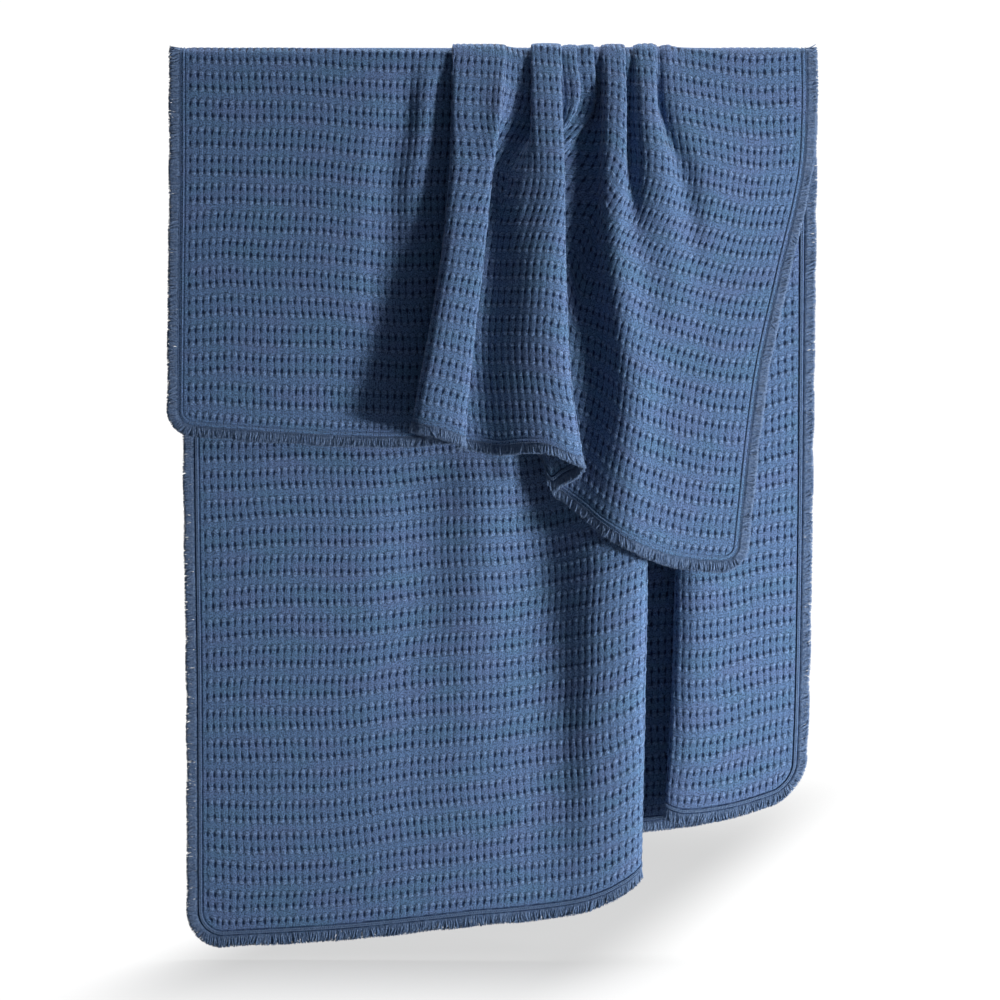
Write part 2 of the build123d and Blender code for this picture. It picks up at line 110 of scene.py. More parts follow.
# Cross-sections of the flaps: (distance below the rail's axis, points), each point (u, x, y).
# The hem's own section has no distance: it lies at the hem's drop.
FRONT_SECTIONS = (
    (70, (
        (0, -429, -12), (150, -279, -12), (240, -189, -12.5), (270, -159, -12), (290, -140, -10),
        (306, -125, -8), (318, -113, -8), (328, -104, -12), (338, -95, -16), (347, -86, -16.5),
        (357, -77, -13.5), (368, -66, -11), (390, -45, -11), (410, -28, -12.5), (420, -21, -16),
        (432, -25, -19), (448, -40, -20), (460, -51, -21.5), (468, -55, -25), (476, -51, -28.5),
        (490, -38, -29.5), (505, -22, -29.5), (520, -8, -31), (533, 2, -33.5), (541, 7.5, -34.5),
        (547, 10, -31.5), (553, 10, -26), (562, 14, -20), (575, 25, -16), (590, 39, -14.5),
        (605, 52, -13.5), (618, 64, -14), (626, 68, -16), (633, 67, -18.5), (645, 56, -21),
        (654, 50, -24), (661, 51, -29), (672, 60, -32), (688, 75, -33.5), (701, 86, -32.5),
        (707, 89, -29), (714, 88, -23.5), (722, 88, -20.5), (734, 92, -21.5), (746, 101, -25),
        (755, 107, -26.5), (762, 109, -22.5), (770, 104, -18), (785, 91, -14), (800, 77, -11),
        (815, 62, -9.5), (824, 55, -8), (829, 53, -6.5), (835, 56, -5), (850, 71, -4.5), (870, 91, -5.5),
        (888, 109, -8), (900, 121, -10), (910, 130, -11), (915, 131, -8.5), (924, 123, -6),
        (930, 122, -4), (944, 136, -4.5), (952, 141, -8.5), (959, 143, -15), (966, 145, -21.5),
        (974, 149, -27.5), (985, 159, -30), (996, 169, -30), (1002, 173, -26.5), (1007, 172, -20.5),
        (1014, 171, -14.5), (1022, 175, -11), (1030, 182, -12.5), (1036, 185, -18), (1043, 189, -25),
        (1053, 197, -30), (1064, 208, -30.5), (1071, 213.5, -27.5), (1076, 214.5, -22),
        (1081, 215, -17), (1087, 219, -15), (1094, 224, -19), (1102, 231, -23), (1114, 242, -25),
        (1130, 257, -24), (1150, 277, -21.5), (1200, 327, -17), (1300, 427, -13),
    )),
    (160, (
        (0, -429, -12), (150, -279, -12), (240, -190, -13), (262, -168, -12.5), (280, -151, -9.5),
        (294, -138, -8), (308, -125, -10), (320, -114, -14), (332, -103, -16.5), (345, -91, -15.5),
        (356, -81, -12.5), (375, -63, -11.5), (400, -39, -12), (412, -29, -14), (419, -27, -16.5),
        (428, -33, -18.5), (442, -45, -20.5), (453, -55, -24), (460, -58, -28.5), (467, -55, -34),
        (479, -44, -36.5), (495, -25, -36.5), (508, -10, -36), (515, -4, -34.5), (521, -2.5, -31),
        (536, -14, -28.5), (552, -27, -27), (558, -30, -24.5), (565, -27, -20.5), (582, -13, -16.5),
        (598, 1, -15), (612, 12, -16.5), (622, 20, -21), (632, 27.5, -28), (643, 37, -35.5), (657, 50, -41),
        (673, 64, -46), (688, 78, -48.5), (700, 88, -48), (708, 91.5, -44.5), (714, 91, -39.5),
        (724, 84, -36), (745, 67, -32), (770, 46, -28), (795, 25, -23.5), (818, 5, -17),
        (829, -4, -13.5), (836, -7, -10.5), (843, -3, -7.5), (865, 17, -5), (895, 45, -4), (925, 75, -4),
        (950, 108, -4.5), (964, 130, -6.5), (970, 138, -12), (974, 141, -20), (980, 144.5, -28.5),
        (990, 153, -33), (1001, 164, -34), (1009, 171, -31), (1015, 173, -25), (1022, 176, -18.5),
        (1030, 182, -17.5), (1038, 188, -22), (1046, 193, -28.5), (1057, 202, -34), (1069, 213, -37),
        (1081, 225, -36.5), (1092, 234, -32), (1102, 241, -25.5), (1111, 248, -22.5), (1121, 257, -24.5),
        (1131, 265, -28), (1142, 275, -30), (1158, 290, -29.5), (1180, 310, -27), (1240, 364, -21.5),
        (1300, 419, -17),
    )),
    (290, (
        (0, -430, -13), (150, -281, -14), (250, -182, -14.5), (275, -158, -11), (300, -134, -10.5),
        (322, -113, -13), (345, -91, -13.5), (375, -62, -12.5), (400, -38, -13.5), (411, -29, -16),
        (419, -28, -19.5), (432, -38, -22.5), (448, -53, -26), (460, -64, -30.5), (468, -71, -36),
        (475, -70, -43), (484, -62.5, -48), (497, -50.5, -50), (512, -36, -49), (526, -23, -47),
        (536, -17, -44.5), (543, -16, -41), (549, -19, -38.5), (560, -27, -37), (572, -38, -36),
        (580, -42, -33), (588, -38, -30), (604, -23, -28), (618, -9, -27.5), (630, 2, -30.5),
        (643, 13, -36.5), (655, 24, -43.5), (668, 36, -50.5), (682, 49, -57), (695, 61.5, -61),
        (707, 73, -62.5), (718, 84, -61), (726, 91.5, -57.5), (731, 93.5, -52.5), (738, 90, -47.5),
        (760, 71, -42), (790, 44, -35), (820, 17, -26.5), (842, -2, -20), (852, -11, -16.5),
        (860, -15, -13), (868, -11, -9.5), (890, 8, -7), (930, 46, -6), (970, 84, -5.5), (1000, 112, -6),
        (1018, 129, -9), (1026, 137, -16), (1032, 141, -25), (1038, 145, -34), (1048, 153, -42),
        (1060, 164, -46.5), (1074, 177.5, -44.5), (1088, 190, -38.5), (1102, 203, -35.5),
        (1120, 220.5, -36), (1136, 236, -36.5), (1152, 251, -34.5), (1168, 266, -31.5), (1190, 287, -30),
        (1220, 315, -29), (1300, 389, -27),
    )),
    (430, (
        (0, -431, -14.5), (150, -281, -15), (300, -132, -14), (345, -88, -13.5), (375, -60, -14),
        (396, -46, -17), (405, -44, -22), (416, -51, -27), (432, -65, -31.5), (450, -81, -36.5),
        (463, -92, -42), (471, -96, -49), (478, -93, -55.5), (489, -83.5, -60), (504, -69, -61),
        (520, -53, -60), (534, -40, -58), (542, -34, -55.5), (548, -31.5, -51.5), (555, -35, -48),
        (566, -44, -45), (577, -53, -41), (585, -49, -37), (600, -35, -36), (614, -21, -36.5),
        (626, -10, -39.5), (638, 1, -45), (652, 14, -52), (668, 29, -59.5), (684, 44, -66), (700, 59, -71),
        (714, 72, -73.5), (726, 84, -74), (737, 94, -71.5), (743, 98.5, -67), (748, 99.5, -61.5),
        (758, 94, -54), (780, 76, -43), (808, 52, -33), (836, 27, -25), (860, 5, -19), (873, -5, -15.5),
        (881, -9, -12.5), (889, -6, -9.5), (910, 11, -8), (945, 38, -7.5), (980, 65, -7.5),
        (1010, 92, -8), (1032, 113, -9.5), (1048, 129, -13), (1060, 141, -18), (1070, 149, -25.5),
        (1080, 156.5, -33.5), (1092, 166.5, -41), (1106, 179, -46), (1122, 194, -46), (1140, 210.5, -42),
        (1158, 227, -38.5), (1180, 247, -37), (1220, 284, -36.5), (1260, 321, -36), (1300, 359, -35),
    )),
    (None, (
        (0, -431, -15), (150, -281, -16), (300, -131, -16), (370, -66, -17), (388, -58, -20),
        (397, -59, -25), (410, -69, -30), (426, -82, -35.5), (442, -95, -41.5), (456, -105, -48),
        (466, -108, -55), (475, -104, -61.5), (490, -90.5, -66.5), (507, -74, -68.5), (524, -58, -68),
        (538, -45.5, -66), (546, -40, -62.5), (552, -38.5, -57.5), (559, -43, -53.5), (568, -47, -50),
        (576, -44, -46.5), (586, -35, -45), (600, -22, -46), (614, -9, -50), (630, 6, -56.5),
        (648, 22, -64.5), (666, 38.5, -72), (684, 55.5, -78.5), (700, 71, -82.5), (714, 85, -84),
        (726, 97, -83.5), (736, 108, -80), (743, 114.5, -74.5), (749, 117, -67), (756, 116, -58.5),
        (768, 109, -49), (782, 98, -40), (794, 88, -33.5), (806, 77, -28), (818, 67, -23.5),
        (832, 55, -20), (850, 40, -17.5), (868, 25, -16), (884, 10, -14.5), (893, 3, -12), (901, 5, -9.5),
        (920, 19, -8.5), (950, 39, -8), (975, 55, -8), (990, 66, -8.5), (1003, 75, -9.5),
        (1020, 84, -11), (1035, 90, -13), (1052, 100, -17), (1070, 113, -24),
        (1090, 129, -32.5), (1110, 146.5, -41.5), (1128, 162.5, -47.5), (1146, 179.5, -50.5),
        (1164, 197, -50), (1200, 231, -46.5), (1240, 271, -44.5), (1300, 330, -43),
    )),
)
FRONT_DROPS = (
    (0, 500), (150, 512), (300, 518), (370, 513), (395, 512), (420, 508), (440, 502), (466, 498),
    (490, 503), (517, 509), (538, 516), (568, 520), (604, 524), (633, 529), (657, 527), (680, 526),
    (700, 528), (716, 534), (733, 542), (749, 545), (769, 558), (789, 567), (806, 574), (850, 577),
    (890, 580), (960, 580), (1000, 580), (1015, 583), (1035, 589), (1052, 597), (1075, 610),
    (1100, 629), (1130, 647), (1161, 661), (1200, 674), (1240, 680), (1300, 681),
)
# Length of cloth in the front flap, from the hem to the rail. The rest of the sheet is the back flap's.
FRONT_LENGTHS = (
    (0, 514), (300, 522), (466, 524), (600, 540), (749, 566), (890, 598), (1052, 626), (1130, 636),
    (1200, 641), (1300, 646),
)
# Share of its drop to which the front hem is tucked up, out of sight behind the widest fold.
FRONT_TUCKS = (
    (0, 1.0), (790, 1.0), (807, 1.0), (822, 0.93), (838, 0.9), (900, 0.89), (960, 0.89), (985, 0.9),
    (1001, 0.97), (1010, 1.0), (1030, 1.0), (1300, 1.0),
)
BACK_SECTIONS = (
    (70, (
        (0, -425, 12), (200, -226, 12), (345, -85, 12), (378, -56, 13), (430, -20, 13), (500, 24, 16),
        (570, 72, 15), (610, 98, 15), (630, 110, 17), (650, 118, 22), (700, 119, 28), (745, 116, 31),
        (765, 118, 36), (800, 131, 40), (870, 158, 41), (940, 186, 40), (985, 205, 35), (1005, 207, 29),
        (1050, 203, 24), (1088, 205, 20), (1102, 215, 16), (1130, 249, 12), (1200, 322, 12),
        (1300, 430, 12),
    )),
    (470, (
        (0, -415, 13), (200, -214, 13), (300, -114, 15), (345, -70, 16), (391, -26, 12), (447, 26, 14),
        (483, 57, 12), (516, 84, 7), (550, 112, 1), (584, 143, -4), (612, 166, -4), (628, 176, 3),
        (645, 173, 13), (670, 160, 22), (700, 143, 31), (745, 113, 38), (765, 109, 46), (800, 130, 52),
        (870, 188, 55), (940, 245, 54), (985, 278, 48), (1005, 275, 39), (1050, 250, 33),
        (1086, 237, 29), (1104, 237, 23), (1120, 250, 15), (1146, 278, 9), (1200, 328, 11),
        (1300, 426, 13),
    )),
    (620, (
        (0, -413, 13), (200, -212, 13), (240, -171, 13), (262, -149, 14.5), (280, -129, 17),
        (298, -111, 19.5), (316, -93, 20.5), (335, -74, 19.5), (354, -56, 16), (373, -37, 12),
        (391, -19, 9.5), (410, 0, 10), (429, 19, 13), (447, 37, 15.5), (466, 56, 15), (483, 72, 11),
        (500, 87, 3), (516, 101, -5.5), (532, 115, -13.5), (550, 131.5, -22), (568, 148.5, -27.5),
        (584, 164.5, -29.5), (600, 180.5, -29.5), (611, 191, -26), (620, 197.5, -18), (628, 199, -8),
        (640, 195, 5), (660, 182, 18), (700, 150, 31), (745, 112, 38), (765, 106, 48), (800, 130, 55),
        (870, 200, 57), (940, 268, 56), (985, 306, 50), (1005, 301, 41), (1050, 267, 34),
        (1080, 253, 31), (1096, 243, 27.5), (1104, 243, 23), (1111, 247, 18.5), (1120, 254.5, 14),
        (1131, 264.5, 10), (1146, 279, 8), (1170, 302, 9), (1200, 330, 11), (1300, 424, 14),
    )),
    (850, (
        (0, -410, 14), (200, -210, 13), (240, -170, 13), (280, -130, 15.5), (298, -111, 17),
        (316, -93, 17), (335, -74, 16), (354, -56, 14.5), (373, -37, 13), (391, -19, 12.5), (410, 0, 13),
        (429, 19, 14), (447, 37, 15.5), (466, 56, 16.5), (485, 74, 14.5), (505, 93, 9), (524, 109.5, 0),
        (544, 127.5, -9.5), (564, 145, -15), (582, 163, -17.5), (600, 180.5, -17), (612, 191.5, -13.5),
        (620, 198, -6), (628, 199, 3), (640, 194, 15), (700, 150, 34), (745, 112, 40), (765, 106, 49),
        (800, 130, 55), (870, 200, 57), (940, 267, 56), (985, 304, 50), (1005, 299, 41), (1050, 260, 33),
        (1080, 243, 29), (1096, 237, 25), (1106, 240, 20), (1117, 249, 15.5), (1130, 261, 12),
        (1150, 280, 11), (1200, 328, 13), (1300, 420, 15),
    )),
    (None, (
        (0, -409, 14), (200, -208, 15), (345, -62, 14), (430, 20, 14), (500, 86, 12.5), (540, 123, 10),
        (575, 156, 8.5), (600, 180, 9.5), (614, 191, 13), (622, 195, 17), (632, 194, 22), (650, 188, 28),
        (700, 150, 36), (745, 112, 41), (765, 107, 48), (800, 131, 54), (870, 199, 56), (940, 266, 55),
        (985, 304, 49), (1005, 299, 40), (1050, 256, 33), (1078, 236, 29), (1092, 229, 24),
        (1102, 229, 20), (1112, 236, 17), (1130, 253, 15), (1200, 322, 15), (1300, 415, 15),
    )),
)
BACK_DROPS = (
    (0, 1183), (200, 1172), (345, 1157), (378, 1153), (430, 1149), (500, 1141), (540, 1133),
    (570, 1122), (592, 1110), (612, 1097), (630, 1084), (650, 1069), (700, 1050), (745, 1044),
    (765, 1042), (800, 1039), (870, 1034), (940, 1026), (985, 1018), (1005, 1013), (1050, 1008),
    (1088, 1006), (1102, 1011), (1130, 1018), (1200, 1008), (1300, 976),
)

# Weave: ribs run along the sheet. Down it repeat two rows of slits in the grooves between the
# ribs, and beyond each of them a row of raised floats on the ribs.
RIB = 9.4
REPEAT = 38.5
SLIT_ROWS = (12.1, 26.4)
FLOAT_ROWS = (7.6, 30.9)
CLOTH = 2.0  # thickness between the ribs' feet
CROWN, LUMP, SLIT = 0.14, 0.7, 0.9  # heights of a rib and a float, and depth of a slit

# Seam: insets from the ends of the fringe. The plain margin ends where the weave's relief starts.
SEAM_END = 23.8
GROOVES = (15.6, 22.0)  # lines that the stitching presses into the cloth
GROOVE_STOPS = (-1.5, -0.5, 0.5, 1.5)
GROOVE_DEPTH = 0.7
NEEDLES = (15.6, 20.0)
STITCH = 3.0
ZIGZAG = (16.9, 20.7)
LOOP = 5.2
LOOPER_RADIUS = 0.6

# Fringe: layers of yarn ends through the cloth's thickness, and the step from one to the next.
FRINGE_LAYERS = 5
FRINGE_STEP = 1.25
ROOT = 1.0  # how far a yarn end starts inside the cloth


def cubic(places, values, at):
    """Smooth curve through values at the given places, read at an array of places."""
    places, values = np.asarray(places, float), np.asarray(values, float)
    i = np.clip(np.searchsorted(places, at, side="right") - 1, 0, len(places) - 2)
    slopes = np.empty_like(values)
    slopes[1:-1] = (values[2:] - values[:-2]) / (places[2:] - places[:-2])
    slopes[0] = (values[1] - values[0]) / (places[1] - places[0])
    slopes[-1] = (values[-1] - values[-2]) / (places[-1] - places[-2])
    return hermite(places[i], places[i + 1], values[i], values[i + 1], slopes[i], slopes[i + 1], at)


def hermite(start, end, first, last, slope_first, slope_last, at):
    """Cubic from first to last between two places, with the given slopes there."""
    span = end - start
    t = (at - start) / span
    return (
        first * (1 + 2 * t) * (1 - t) ** 2
        + slope_first * span * t * (1 - t) ** 2
        + last * t * t * (3 - 2 * t)
        + slope_last * span * t * t * (t - 1)
    )


def column(rows, k):
    return [row[k] for row in rows]


def read(table, at, k=1):
    """Column k of a table, read along its first column."""
    return cubic(column(table, 0), column(table, k), at)


def flap(sections, fold_lines, side, u, drop, bottom):
    """Points of a hanging flap, a distance below the rail's axis along each column."""
    marks = [np.zeros_like(u)]
    for level, points in sections:
        marks.append(bottom if level is None else np.full_like(u, float(level)))
    tables = [[(a, x, side * (MID_RADIUS + lift)) for a, x, lift in RAIL_PLEATS]]
    tables += [points for level, points in sections]
    levels = along_folds(fold_lines, marks, u, drop)
    xs = [read(table, at, 1) for table, at in zip(tables, levels)]
    ys = [read(table, at, 2) for table, at in zip(tables, levels)]
    return down(marks, xs, drop, 1.0), down(marks, ys, drop, 1.0)


def along_folds(fold_lines, marks, u, drop):
    """The u at which to read each section: the same share of the way between two fold lines."""
    if not fold_lines:
        return [u] * len(marks)
    lines = [down(marks, [np.full_like(u, float(a)) for a in line], drop, 0.0) for line in fold_lines]
    levels = [u.copy() for mark in marks]
    for k in range(len(lines) - 1):
        here = (u >= lines[k]) & (u < lines[k + 1])
        share = (u - lines[k]) / np.maximum(lines[k + 1] - lines[k], 1.0)
        for level, (first, second) in enumerate(zip(fold_lines[k], fold_lines[k + 1])):
            levels[level] = np.where(here, first + share * (second - first), levels[level])
    return levels


def down(marks, values, drop, lead):
    """Smooth run down a flap through its sections. Lead is how soon it starts to leave the rail."""
    last = len(marks) - 1
    slopes = [lead * (values[1] - values[0]) / (marks[1] - marks[0])]
    for k in range(1, last):
        slopes.append((values[k + 1] - values[k - 1]) / (marks[k + 1] - marks[k - 1]))
    slopes.append((values[last] - values[last - 1]) / (marks[last] - marks[last - 1]))
    out = np.zeros_like(drop)
    for k in range(last):
        here = (drop >= marks[k]) if k else np.full(drop.shape, True)
        part = hermite(marks[k], marks[k + 1], values[k], values[k + 1], slopes[k], slopes[k + 1], drop)
        out = np.where(here, part, out)
    return out


def drape(u, v):
    """Where points of the flat sheet hang, on the cloth's middle surface."""
    front_drop = read(FRONT_DROPS, u) * read(FRONT_TUCKS, u)
    back_drop = read(BACK_DROPS, u)
    front_length = read(FRONT_LENGTHS, u)
    back_length = SHEET_LENGTH - WRAP - front_length
    radius = MID_RADIUS + read(RAIL_PLEATS, u, 2)
    turn = np.clip((v - front_length) / WRAP, 0, 1) * math.pi
    x, y, z = read(RAIL_PLEATS, u), -radius * np.cos(turn), radius * np.sin(turn)
    drop = (front_length - v) / front_length * front_drop
    fx, fy = flap(FRONT_SECTIONS, FRONT_FOLD_LINES, -1, u, np.clip(drop, 0, None), front_drop)
    x, y, z = np.where(drop > 0, fx, x), np.where(drop > 0, fy, y), np.where(drop > 0, -drop, z)
    drop = (v - front_length - WRAP) / back_length * back_drop
    bx, by = flap(BACK_SECTIONS, (), 1, u, np.clip(drop, 0, None), back_drop)
    x, y, z = np.where(drop > 0, bx, x), np.where(drop > 0, by, y), np.where(drop > 0, -drop, z)
    return np.stack([x, y, z], -1)


def rounded(u, v):
    """Move points of the square sheet so that its four corners become round."""
    right = u > SHEET_WIDTH / 2
    far = v > SHEET_LENGTH / 2
    corner = np.where(far, BACK_CORNER, FRONT_CORNER)
    along = corner - np.where(right, SHEET_WIDTH - u, u)
    up = corner - np.where(far, SHEET_LENGTH - v, v)
    inside = np.minimum(along, up) > 0
    reach = np.maximum(along, up)
    with np.errstate(divide="ignore", invalid="ignore"):
        turn = math.pi / 4 * np.where(along >= up, up / along, 2 - along / up)
    near_u = np.where(inside, corner - reach * np.cos(turn), np.where(right, SHEET_WIDTH - u, u))
    near_v = np.where(inside, corner - reach * np.sin(turn), np.where(far, SHEET_LENGTH - v, v))
    return np.where(right, SHEET_WIDTH - near_u, near_u), np.where(far, SHEET_LENGTH - near_v, near_v)


def normals(u, v):
    """Outward direction of the sheet's outer face."""
    step = 1.0
    du = drape(u + step, v) - drape(u - step, v)
    dv = drape(u, v + step) - drape(u, v - step)
    n = np.cross(du, dv)
    return n / np.maximum(np.linalg.norm(n, axis=-1, keepdims=True), 1e-9)


def cell_noise(i, j, seed):
    """A fixed pseudo-random number from 0 to 1 for each cell of the weave."""
    wave = np.sin(i * 127.1 + j * 311.7 + seed * 74.7) * 43758.5453
    return wave - np.floor(wave)


def edge_distance(u, v):
    """Distance in from the nearest edge of the square sheet."""
    return np.minimum(np.minimum(u, SHEET_WIDTH - u), np.minimum(v, SHEET_LENGTH - v))


def wander(a, b):
    """How far the ribs and rows of the weave stray from straight lines, at a place on the sheet."""
    calm = np.clip((edge_distance(a, b) - 24) / 60, 0, 1)
    u = 2.2 * np.sin(b / 61 + 0.8 * np.sin(a / 87)) + 1.2 * np.sin(b / 23 + a / 140)
    v = 5.0 * np.sin(a / 130 + 1.1 * np.sin(b / 210)) + 1.6 * np.sin(a / 31 + b / 190)
    v += 5.5 * np.sin(b / 118 + 0.6 * np.sin(a / 260))
    return u * calm, v * calm


def weave(a, b):
    """Relief of the weave, and the sizes of the slit and the float nearest each place."""
    rib = a / RIB
    across = np.abs(rib - np.round(rib)) * RIB
    repeat = np.floor(b / REPEAT)
    along = b - repeat * REPEAT
    upper = along < sum(SLIT_ROWS) / 2
    row = repeat * 2 + upper
    slit_size = np.clip(1.20 - 0.75 * cell_noise(np.round(rib), row, 1.0) ** 2, 0, 1)
    lump_size = np.clip(1.30 - 0.6 * cell_noise(np.floor(rib), row, 2.0) ** 2, 0, 1)
    slit_along = np.abs(along - np.where(upper, SLIT_ROWS[0], SLIT_ROWS[1]))
    lump_along = np.abs(along - np.where(upper, FLOAT_ROWS[0], FLOAT_ROWS[1]))
    slit = slit_size * np.clip(1.4 - np.hypot(across / 1.6, slit_along / 3.2), 0, 1)
    lump = lump_size * np.clip(1.25 - np.hypot((RIB / 2 - across) / 3.8, lump_along / 3.6) ** 2, 0, 1)
    crown = np.sin(np.clip(across / (RIB / 2), 0, 1) * math.pi / 2) ** 0.8
    plain = np.clip((edge_distance(a, b) - SEAM_END) / 4, 0, 1)
    return (CROWN * crown + LUMP * lump - SLIT * slit) * plain, slit_size * plain, lump_size * plain


def stops(length, pitch, offsets):
    """Grid lines across the sheet: the seam's own, then those that follow the weave."""
    edges = [FRINGE, *(line + off for line in GROOVES for off in GROOVE_STOPS), SEAM_END]
    inner = np.concatenate([np.arange(0, length + pitch, pitch) + offset for offset in offsets])
    inner = inner[(inner > SEAM_END + 0.8) & (inner < length - SEAM_END - 0.8)]
    return np.unique(np.concatenate([edges, inner, [length - e for e in edges]]))


def weave_grid():
    """Grid over the square sheet, with lines on the ribs, the grooves, the slits and the floats."""
    low, high = SLIT_ROWS
    rows = (2.0, FLOAT_ROWS[0], low - 2.6, low, low + 2.8, (low + high) / 2)
    rows += (high - 2.8, high, high + 2.6, FLOAT_ROWS[1], REPEAT - 2.0)
    across = stops(SHEET_WIDTH, RIB, (0, 1.5, RIB / 2, RIB - 1.5))
    return np.meshgrid(across, stops(SHEET_LENGTH, REPEAT, rows), indexing="ij")


def new_mesh(name, points, faces):
    """Mesh object from an array of points in millimetres and arrays of faces of one size each."""
    mesh = bpy.data.meshes.new(name)
    mesh.vertices.add(len(points))
    mesh.vertices.foreach_set("co", (points * MM).astype(np.float32).ravel())
    loops = np.concatenate([f.ravel() for f in faces]).astype(np.int32)
    counts = np.concatenate([np.full(len(f), f.shape[1]) for f in faces]).astype(np.int32)
    mesh.loops.add(len(loops))
    mesh.loops.foreach_set("vertex_index", loops)
    mesh.polygons.add(len(counts))
    mesh.polygons.foreach_set("loop_start", (np.cumsum(counts) - counts).astype(np.int32))
    mesh.polygons.foreach_set("use_smooth", np.full(len(counts), True))
    mesh.update(calc_edges=True)
    mesh.validate()
    obj = bpy.data.objects.new(name, mesh)
    bpy.context.scene.collection.objects.link(obj)
    return obj


def flat_uv(obj, name, u, v):
    """UV map that holds a place on the flat sheet for each vertex, in metres."""
    mesh = obj.data
    layer = mesh.uv_layers.new(name=name)
    index = np.empty(len(mesh.loops), np.int32)
    mesh.loops.foreach_get("vertex_index", index)
    layer.data.foreach_set("uv", np.stack([u[index], v[index]], -1).astype(np.float32).ravel() * MM)


def attribute(obj, name, values):
    """Number for each vertex that a material can read."""
    layer = obj.data.attributes.new(name, "FLOAT", "POINT")
    layer.data.foreach_set("value", values.astype(np.float32).ravel())


def make_cloth():
    """The panel: outer and inner faces with the weave's relief, joined by a rim."""
    a, b = weave_grid()
    height, slit, lump = weave(a, b)
    stray_u, stray_v = wander(a, b)
    u, v = rounded(a + stray_u, b + stray_v)
    centre, normal = drape(u, v), normals(u, v)
    thick = CLOTH / 2 + height - GROOVE_DEPTH * grooves(a, b, 1.0, 1.0)
    outer = centre + normal * thick[..., None]
    inner = centre - normal * thick[..., None]
    n, m = a.shape
    index = np.arange(n * m).reshape(n, m)
    quads = np.stack([index[:-1, :-1], index[1:, :-1], index[1:, 1:], index[:-1, 1:]], -1).reshape(-1, 4)
    ring = np.concatenate([index[:-1, 0], index[-1, :-1], index[:0:-1, -1], index[0, :0:-1]])
    after = np.roll(ring, -1)
    rim = np.stack([after, ring, ring + n * m, after + n * m], -1)
    points = np.concatenate([outer.reshape(-1, 3), inner.reshape(-1, 3)])
    cloth = new_mesh("cloth", points, [quads, quads[:, ::-1] + n * m, rim])
    flat_uv(cloth, "weave", np.tile(a.ravel(), 2), np.tile(b.ravel(), 2))
    attribute(cloth, "slit", np.tile(slit.ravel(), 2))
    attribute(cloth, "lump", np.tile(lump.ravel(), 2))
    # Painted shade for the seam: how dark the two grooves are coloured, and on the inner face the strip
    # between them at half strength
    groove_shade_outer = grooves(a, b, 0.6, 0.3)
    groove_shade_inner = grooves(a, b, 1.0, 1.0, between=0.5)
    attribute(cloth, "groove", np.concatenate([groove_shade_outer.ravel(), groove_shade_inner.ravel()]))
    return cloth


def grooves(a, b, first_share, second_share, between=0.0):
    """How deep the seam's two grooves and the strip between them are at a place: at most one."""
    inset = edge_distance(a, b)
    shares = zip(GROOVES, (first_share, second_share))
    lines = sum(share * np.clip(1.5 - np.abs(inset - line), 0, 1) for line, share in shares)
    inside = (inset > GROOVES[0]) & (inset < GROOVES[1])
    return np.maximum(lines, between * inside)


def tubes(name, lines, radii, sides):
    """One mesh of many closed tubes. lines is (tube, point, xyz), radii (tube, point) or (point,)."""
    tangent = np.gradient(lines, axis=1)
    tangent /= np.maximum(np.linalg.norm(tangent, axis=-1, keepdims=True), 1e-9)
    guide = np.broadcast_to(np.array([0.31, 0.87, 0.38]), tangent.shape)
    side = np.cross(tangent, guide)
    side /= np.maximum(np.linalg.norm(side, axis=-1, keepdims=True), 1e-9)
    up = np.cross(side, tangent)
    radii = np.broadcast_to(radii, lines.shape[:2])[..., None, None]
    angle = np.arange(sides) * 2 * math.pi / sides
    rings = lines[:, :, None] + radii * (
        np.cos(angle)[None, None, :, None] * side[:, :, None]
        + np.sin(angle)[None, None, :, None] * up[:, :, None]
    )
    count, rows = lines.shape[:2]
    index = np.arange(count * rows * sides).reshape(count, rows, sides)
    after = np.roll(index, -1, axis=2)
    walls = np.stack([index[:, :-1], after[:, :-1], after[:, 1:], index[:, 1:]], -1).reshape(-1, 4)
    caps = np.concatenate([index[:, 0, ::-1], index[:, -1]])
    return new_mesh(name, rings.reshape(-1, 3), [walls, caps])


def edge_path(inset, spacing):
    """Places at equal steps round the sheet at one distance in from its cut edge."""
    left, right = inset, SHEET_WIDTH - inset
    near, far = inset, SHEET_LENGTH - inset
    legs = (((left, near), (right, near)), ((right, near), (right, far)))
    legs += (((right, far), (left, far)), ((left, far), (left, near)))
    us, vs = [], []
    for (u0, v0), (u1, v1) in legs:
        count = int(round(math.hypot(u1 - u0, v1 - v0) / spacing))
        t = np.arange(count) / count
        us.append(u0 + (u1 - u0) * t)
        vs.append(v0 + (v1 - v0) * t)
    return rounded(np.concatenate(us), np.concatenate(vs))


def needle_row(name, inset):
    """Row of straight stitches on the outer face."""
    steps = 4
    u, v = edge_path(inset, STITCH / steps)
    count = len(u) // steps
    take = (np.arange(count)[:, None] * steps + np.arange(steps)[None, :]) % len(u)
    arch = np.array([0.0, 0.42, 0.42, 0.0])
    lines = drape(u, v)[take] + normals(u, v)[take] * (CLOTH / 2 + arch)[None, :, None]
    return tubes(name, lines, np.array([0.28, 0.42, 0.42, 0.28]), 6)


